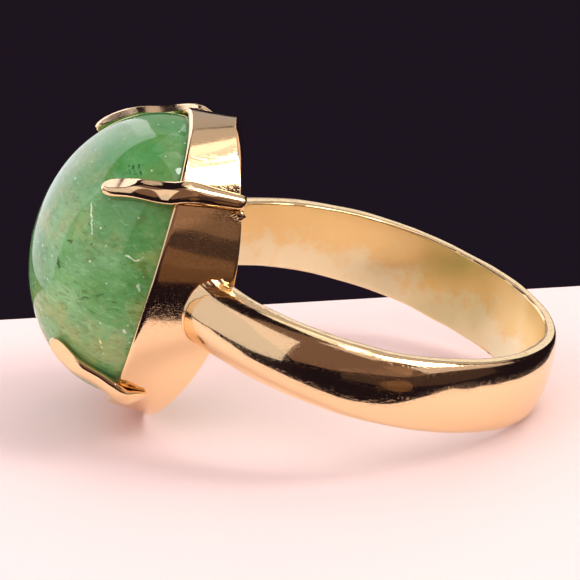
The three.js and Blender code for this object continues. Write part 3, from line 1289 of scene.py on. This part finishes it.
    def law(self, stock: np.ndarray) -> np.ndarray:
        """Shape of the wire, kept clear of the wall and the stone.

        Args:
            stock: the blank's corners.

        Returns:
            Their places in the ring's own frame.
        """
        share = stock[:, 2]
        out, aside = self.profile(stock)
        place, way = self.centre(share)
        radius, height = place[:, 0] + way[:, 1] * out, place[:, 1] - way[:, 0] * out
        turn = self.turn(share)
        across = radius * np.sin(turn) + aside * np.cos(turn)
        along = radius * np.cos(turn) - aside * np.sin(turn)
        wave = self.wave.at(np.stack([-height, across, along], axis=1))
        angle = np.arctan2(across, along)
        on_wall = FORM.wall_radius(angle, height) + self.clear_wall
        on_dome = FORM.dome_radius(angle, height) + self.clear_dome
        least = np.where(height < FORM.rim_height, on_wall, on_dome)
        return FORM.around_stone(angle, np.maximum(np.hypot(across, along) + wave, least), height)

    def build(self) -> None:
        """Makes the claw."""
        piece = Blank.turned(self.name, self.section(), self.steps)
        finish(piece, self.law, WIRE_GOLD.material(), self.node, crease=55.0)


CLAWS = (
    Claw("claw_top_near", "claw_upper_near", End.UPPER, Side.NEAR, 44.5, 3.2, bulge=0.26),
    Claw(
        "claw_top_far", "claw_upper_far", End.UPPER, Side.FAR, 39.0, 3.6, foot=0.3,
        worn=0.3, worn_tilt=-45.0, worn_from=(0.3, 0.5), wave=Swell(2.2, 0.008, 62),
    ),
    Claw(
        "claw_low_near", "claw_lower_near", End.LOWER, Side.NEAR, 45.2, 3.3, foot=0.5,
        width=1.12, wave=Swell(2.2, 0.008, 63),
    ),
    Claw(
        "claw_low_far", "claw_lower_far", End.LOWER, Side.FAR, 42.0, 3.4, foot=0.5,
        wave=Swell(2.2, 0.008, 64),
    ),
)


@dataclass
class SolderDrop:
    """The lumpy drop of solder on the wall, on the band's side of a claw's foot."""

    claw: Claw
    size: float = 0.32
    stretch: Place = (1.15, 0.85, 0.85)
    aside: float = 1.6  # degrees from the claw's own angle
    above_foot: float = 0.22
    off_wall: float = 0.05
    lumps: Swell = Swell(1.1, 0.09, 41)

    def centre(self) -> np.ndarray:
        """The drop's middle, in the ring's own frame.

        Returns:
            One place, in millimetres.
        """
        at = np.array([self.claw.facing(self.claw.angle - self.aside)])
        height = FORM.base_height(at) + self.above_foot
        return FORM.around_stone(at, FORM.wall_radius(at, height) + self.off_wall, height)[0]

    def law(self, stock: np.ndarray) -> np.ndarray:
        """Shape of the drop."""
        lump = 1.0 + self.lumps.at(stock)
        return self.centre() + stock * lump[:, None] * np.array(self.stretch) * self.size

    def build(self) -> None:
        """Makes the drop."""
        bpy.ops.object.select_all(action="DESELECT")
        bpy.ops.mesh.primitive_ico_sphere_add(subdivisions=5, radius=1.0, location=(0.0, 0.0, 0.0))
        piece = bpy.context.object
        piece.name = piece.data.name = "claw_drop"
        finish(piece, self.law, SOLDER_GOLD.material(), "claw_solder", crease=80.0)


@dataclass
class SolderCollar:
    """A thin, uneven collar of solder where one end of the band meets the collet."""

    name: str
    node: str
    side: Side
    shank: Shank
    lumps: Swell
    reach: float = 0.40
    height: float = 0.10
    off_band: float = 0.012
    steps: int = 360

    def section(self) -> list[Corner]:
        """Share of reach and share of height of the corners, closed, from the collet's wall.

        Returns:
            The corners in order, the first one also last.
        """
        corners = [(0.0, 0.0), (0.0, 0.35), (0.0, 0.7), (0.0, 1.0), (0.12, 0.8), (0.28, 0.55)]
        corners += [(0.45, 0.33), (0.65, 0.16), (0.85, 0.05), (1.0, 0.0), (0.5, 0.0)]
        return corners + [corners[0]]

    def roughness(self, level: np.ndarray, side: np.ndarray) -> np.ndarray:
        """How full the collar is, in lumps on the band's upper side and thin elsewhere.

        Args:
            level: level in the band's section.
            side: side in the band's section.

        Returns:
            A factor for each corner's reach and height.
        """
        flat = np.stack([level, side, np.zeros_like(level)], axis=1)
        lumps = np.clip(1.4 + self.lumps.at(flat * 1.4), 0.5, 2.6)
        return mix(0.3, lumps, ease(0.2, 0.9, side) * ease(0.3, 1.1, level))

    def law(self, stock: np.ndarray) -> np.ndarray:
        """Shape of the collar.

        Args:
            stock: the blank's corners.

        Returns:
            Their places in the ring's own frame.
        """
        loop = np.array(self.shank.section())
        length = np.concatenate([[0.0], np.cumsum(np.hypot(*np.diff(loop, axis=0).T))])
        turn, radius, lift = polar(stock)
        share = np.mod(turn / math.tau, 1.0) * length[-1]
        level, side = (np.interp(share, length, column) for column in loop.T)
        full = self.roughness(level, side)
        away = (radius - HUB) * self.reach * full / (FORM.bore / 2.0)
        grow = self.off_band + self.height * lift * full
        made = self.shank.point(self.shank.end_angle(level, side) + away, level, side, grow)
        return made * np.array([1.0, self.side.value, 1.0])

    def build(self) -> None:
        """Makes the collar."""
        piece = Blank.turned(self.name, [(HUB + away, lift) for away, lift in self.section()], self.steps)
        finish(piece, self.law, SOLDER_GOLD.material(), self.node, crease=80.0)


def toward(azimuth: float, elevation: float) -> Vector:
    """Direction from the ring; azimuth 0 is the front, and 90 is the side away from the stone."""
    az, el = math.radians(azimuth), math.radians(elevation)
    return Vector((math.sin(az) * math.cos(el), -math.cos(az) * math.cos(el), math.sin(el)))


class Outline(Enum):
    """Outlines of a light."""

    BOX = "RECTANGLE"
    ROUND = "ELLIPSE"


@dataclass(frozen=True)
class SoftLight:
    """One studio light, by its direction from the ring and the angles in degrees that it spans.

    Brightness is what a perfect mirror would show of it. Polished gold doesn't show a
    light that isn't mirrored.
    """

    name: str
    azimuth: float
    elevation: float
    half_width: float
    half_height: float
    brightness: float
    colour: Colour
    outline: Outline = Outline.BOX
    mirrored: bool = True
    distance: float = 0.30

    def build(self) -> None:
        """Makes the light, facing the ring, out of the camera's sight."""
        way = toward(self.azimuth, self.elevation)
        lamp = bpy.data.lights.new(self.name, "AREA")
        lamp.shape = self.outline.value
        lamp.size = 2.0 * self.distance * math.tan(math.radians(self.half_width))
        lamp.size_y = 2.0 * self.distance * math.tan(math.radians(self.half_height))
        filled = math.pi / 4.0 if self.outline is Outline.ROUND else 1.0
        lamp.energy = self.brightness * math.pi * lamp.size * lamp.size_y * filled
        lamp.color = self.colour
        piece = bpy.data.objects.new(self.name, lamp)
        bpy.context.scene.collection.objects.link(piece)
        piece.location = Vector((FORM.shift_x, 0.0, FORM.shift_z)) * MM + way * self.distance
        piece.rotation_euler = way.to_track_quat("Z", "Y").to_euler()
        piece.visible_camera = False
        piece.visible_glossy = self.mirrored


WHITE = (1.0, 0.98, 0.97)
LIGHTS = (
    SoftLight("key", 86.0, 46.0, 15.0, 15.0, 6.5, (1.0, 0.97, 0.92), Outline.ROUND),
    SoftLight("high_box", 118.0, 70.0, 22.0, 10.0, 1.0, (1.0, 0.95, 0.90)),
    SoftLight("high_key", 100.0, 69.0, 5.0, 5.0, 11.0, (1.0, 0.98, 0.95), Outline.ROUND),
    SoftLight("shoulder_box", 57.0, 60.0, 13.0, 15.0, 0.5, (1.0, 0.86, 0.82)),
    SoftLight("cream_box", -63.0, 30.0, 31.0, 33.0, 0.74, (1.0, 0.91, 0.93)),
    SoftLight("cool_box", -136.0, 15.0, 36.0, 30.0, 1.35, (1.0, 0.92, 1.05)),
    SoftLight("back_box", 150.0, 47.0, 22.0, 17.0, 0.55, (1.0, 0.86, 0.82)),
    SoftLight("rear_strip", 165.5, 16.0, 6.5, 8.0, 1.0, (1.0, 0.97, 0.93)),
    SoftLight("rear_dim", 182.0, 18.0, 10.0, 15.0, 0.42, (1.0, 0.90, 0.90)),
    SoftLight("side_box", 84.0, 24.0, 26.0, 11.0, 0.62, (1.0, 0.82, 0.80)),
    SoftLight("front_glow", 8.0, 46.0, 40.0, 40.0, 0.17, (1.0, 0.60, 0.45)),
    SoftLight("low_glow", 45.0, 2.0, 45.0, 15.0, 0.045, (1.0, 0.62, 0.45)),
    SoftLight("warm_card", 47.0, 20.0, 13.0, 13.0, 0.10, (1.0, 0.60, 0.36), Outline.ROUND),
    SoftLight("amber_card", 31.0, -12.0, 9.0, 10.0, 0.12, (1.0, 0.50, 0.22), Outline.ROUND),
    SoftLight("overhead", 0.0, 89.0, 45.0, 45.0, 0.48, WHITE, mirrored=False),
    SoftLight("front_fill", -30.0, 30.0, 35.0, 30.0, 1.2, WHITE, mirrored=False),
    SoftLight("rear_fill", 170.0, 40.0, 30.0, 25.0, 0.8, WHITE, mirrored=False),
)


@dataclass(frozen=True)
class Board:
    """A plain pale board under the ring, in metres."""

    name: str
    across: tuple[float, float]
    deep: tuple[float, float]
    drop: float  # how far its top lies under the ring
    mirrored: bool  # whether polished gold shows it
    thick: float = 0.003
    turn: float = 6.4

    def build(self, material: bpy.types.Material) -> None:
        """Makes the board.

        Args:
            material: what it is made of.
        """
        bpy.ops.object.select_all(action="DESELECT")
        bpy.ops.mesh.primitive_cube_add(size=1.0, location=(0.0, 0.0, 0.0))
        board = bpy.context.object
        board.name = board.data.name = self.name
        (left, right), (front, back) = self.across, self.deep
        board.scale = (right - left, back - front, self.thick)
        board.location = ((left + right) / 2.0, (front + back) / 2.0, -self.thick / 2.0 - self.drop)
        bpy.ops.object.transform_apply(location=True, rotation=True, scale=True)
        board.rotation_euler = (0.0, 0.0, math.radians(self.turn))
        bpy.ops.object.transform_apply(location=True, rotation=True, scale=True)
        board.data.materials.append(material)
        board.visible_glossy = self.mirrored


@dataclass
class Studio:
    """The boards that the ring lies on, the dark room, the lights and the camera."""

    boards: tuple[Board, ...] = (
        Board("board", (-0.075, 0.0165), (-0.0142, 0.0138), 0.00001, True),
        Board("board_surround", (-0.075, 0.075), (-0.034, 0.0138), 0.000012, False),
    )
    room: Colour = (0.0125, 0.0075, 0.0135)
    azimuth: float = 0.9322
    elevation: float = 20.8722
    roll: float = -1.4006
    aim: Place = (-0.12167, 0.36892, 5.79733)
    distance: float = 1.21913
    lens: float = 1600.0
    sensor: float = 36.0
    clip: tuple[float, float] = (0.05, 20.0)

    def camera(self) -> None:
        """A long-lens camera at the front, a little above the ring."""
        az = math.radians(self.azimuth)
        back = toward(self.azimuth, self.elevation)
        right = Vector((math.cos(az), math.sin(az), 0.0))
        roll = Matrix.Rotation(math.radians(self.roll), 3, "Z")
        turned = Matrix((right, back.cross(right), back)).transposed() @ roll
        data = bpy.data.cameras.new("camera")
        data.lens = self.lens
        data.sensor_width = self.sensor
        data.clip_start, data.clip_end = self.clip
        camera = bpy.data.objects.new("camera", data)
        bpy.context.scene.collection.objects.link(camera)
        spot = Matrix.Translation(Vector(self.aim) * MM + back * self.distance)
        camera.matrix_world = spot @ turned.to_4x4()
        bpy.context.scene.camera = camera

    def build(self) -> None:
        """Sets up the studio."""
        scene = bpy.context.scene
        world = bpy.data.worlds.new("room")
        world.use_nodes = True
        world.node_tree.nodes["Background"].inputs["Color"].default_value = opaque(self.room)
        scene.world = world
        scene.view_settings.view_transform = "Standard"
        board_material = BoardFinish().material()
        for board in self.boards:
            board.build(board_material)
        for light in LIGHTS:
            light.build()
        self.camera()


def main() -> None:
    """Builds the ring piece by piece, then the studio."""
    logging.basicConfig(level=logging.INFO, format="%(name)s: %(message)s")
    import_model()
    shank = Shank()
    shank.build()
    Collet().build()
    Cabochon().build()
    for claw in CLAWS:
        claw.build()
    SolderDrop(CLAWS[0]).build()
    near, far = Swell(0.5, 0.45, 51), Swell(0.5, 0.45, 53)
    SolderCollar("shoulder_collar_near", "shoulder_seam_near", Side.NEAR, shank, near).build()
    SolderCollar("shoulder_collar_far", "shoulder_seam_far", Side.FAR, shank, far).build()
    Studio().build()


if __name__ == "__main__":
    main()
